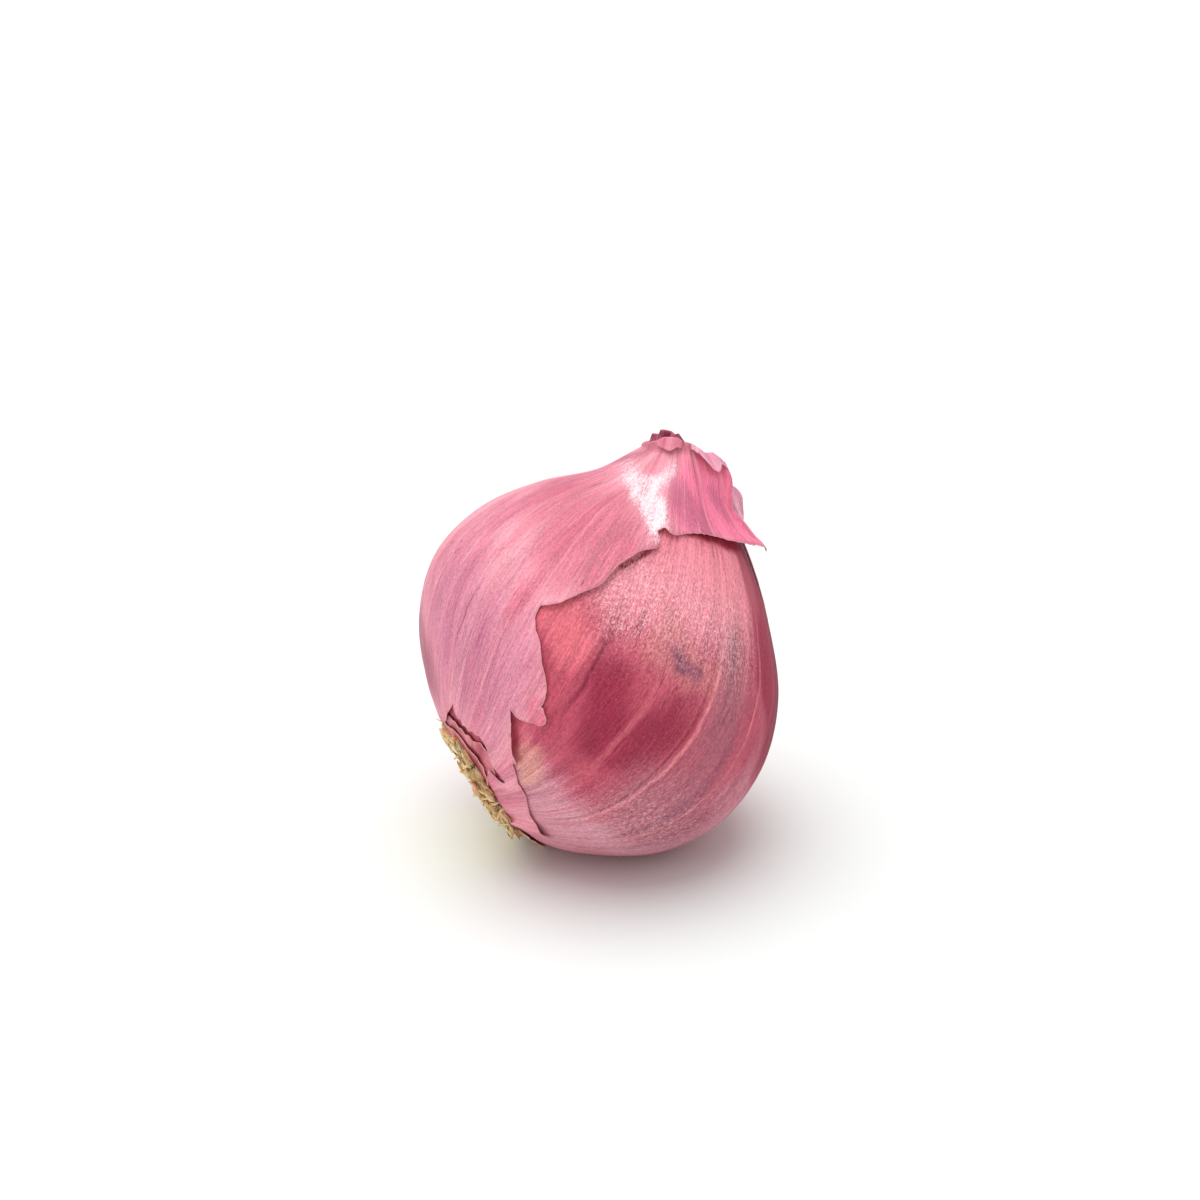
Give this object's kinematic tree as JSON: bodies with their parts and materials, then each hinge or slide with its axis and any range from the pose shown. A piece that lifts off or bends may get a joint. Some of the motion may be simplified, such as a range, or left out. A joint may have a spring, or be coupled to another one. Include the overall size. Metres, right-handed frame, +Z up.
{
  "type": "pink shallot",
  "caption": "Whole shallot lying on its belly: plump bent bulb, torn papery outer skin with a lifted flap at the dry neck, older skin round the base and a corky root plate.",
  "frame": {"origin": "centre of the small flat spot on the belly that the shallot rests on", "axes": "+Z up from the surface it rests on, -Y the side where the outer skin is torn open, -X the side that the root plate faces"},
  "size_m": [0.0436, 0.0468, 0.0486],
  "materials": {
    "flesh": "satin",
    "dry_skin": "satin",
    "old_skin": "matte",
    "root": "matte"
  },
  "bodies": {
    "root": {"bulb": "flesh", "outer_skin": "dry_skin", "base_skin": "old_skin", "neck_flake": "old_skin", "neck_tuft": "old_skin", "root_plate": "root"}
  },
  "joints": []
}
